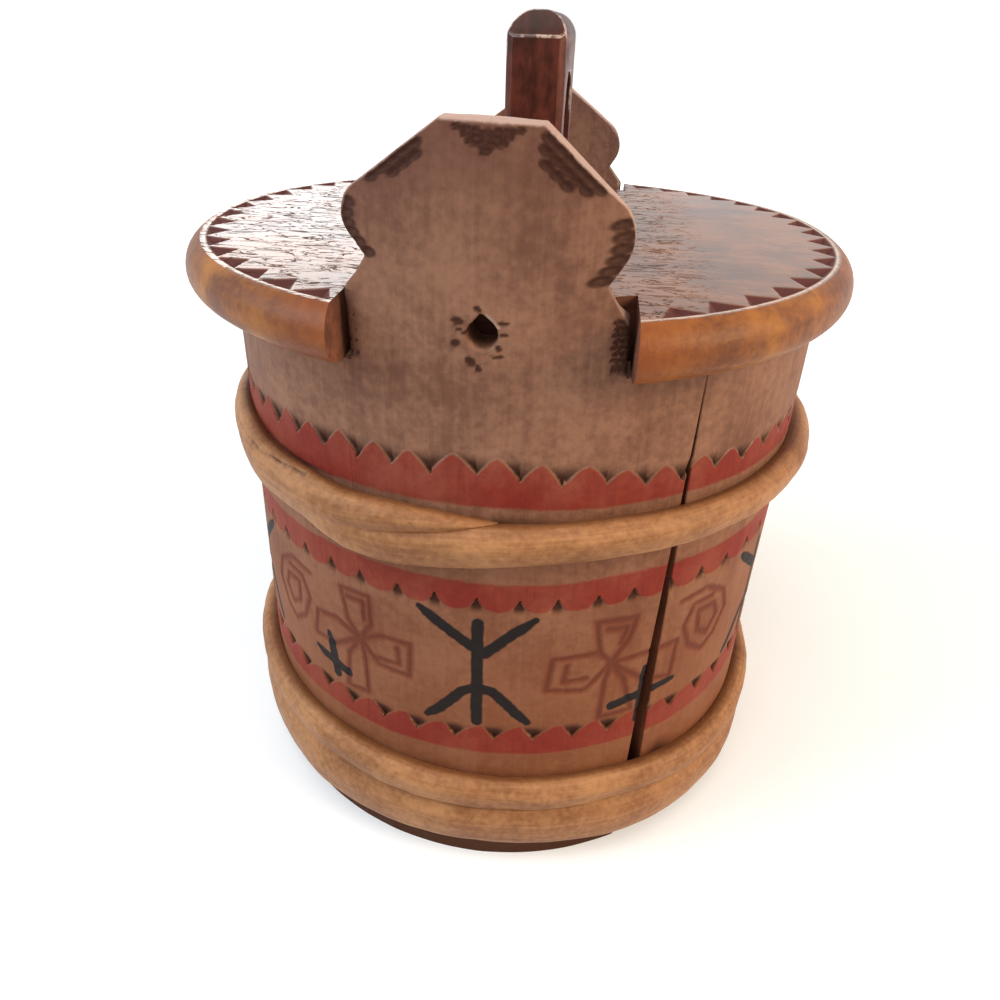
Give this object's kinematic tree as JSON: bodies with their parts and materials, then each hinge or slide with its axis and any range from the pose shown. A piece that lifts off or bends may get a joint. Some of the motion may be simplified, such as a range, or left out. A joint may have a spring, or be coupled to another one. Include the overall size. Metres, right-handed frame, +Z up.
{
  "type": "tine box",
  "caption": "Round coopered wooden tine box with an ear at the front and back, split withy hoops, and a notched lift-off lid with a bow handle.",
  "frame": {"origin": "centre of the tub's foot, on the surface that it stands on", "axes": "+Z up, -Y towards the front ear with the peg hole, +X to the right of someone who looks at that ear"},
  "size_m": [0.223, 0.218, 0.269],
  "materials": {
    "stave_wood": "brown stained softwood, old satin varnish",
    "board_wood": "bare aged softwood",
    "hoop_withy": "split withy, worn orange-tan varnish",
    "lid_wood": "glossy cracked golden-brown varnish",
    "peg_wood": "bare whittled wood",
    "handle_wood": "dark red-brown paint, rubbed on the edges"
  },
  "bodies": {
    "tub": {"front_ear_stave": "stave_wood", "back_ear_stave": "stave_wood", "right_stave_1": "stave_wood", "right_stave_2": "stave_wood", "right_stave_3": "stave_wood", "right_stave_4": "stave_wood", "left_stave_1": "stave_wood", "left_stave_2": "stave_wood", "left_stave_3": "stave_wood", "left_stave_4": "stave_wood", "bottom_board": "board_wood", "upper_hoop": "hoop_withy", "foot_hoop_top": "hoop_withy", "foot_hoop_low": "hoop_withy"},
    "lid": {"lid_board": "lid_wood", "lid_batten_left": "board_wood", "lid_batten_right": "board_wood", "batten_pegs": "peg_wood", "handle_bow": "handle_wood", "handle_wedges": "peg_wood"}
  },
  "joints": [
    {"name": "lid_lift", "type": "slide", "parent": "tub", "child": "lid", "axis": [0, 0, 1], "range_m": [0, 0.08]}
  ]
}
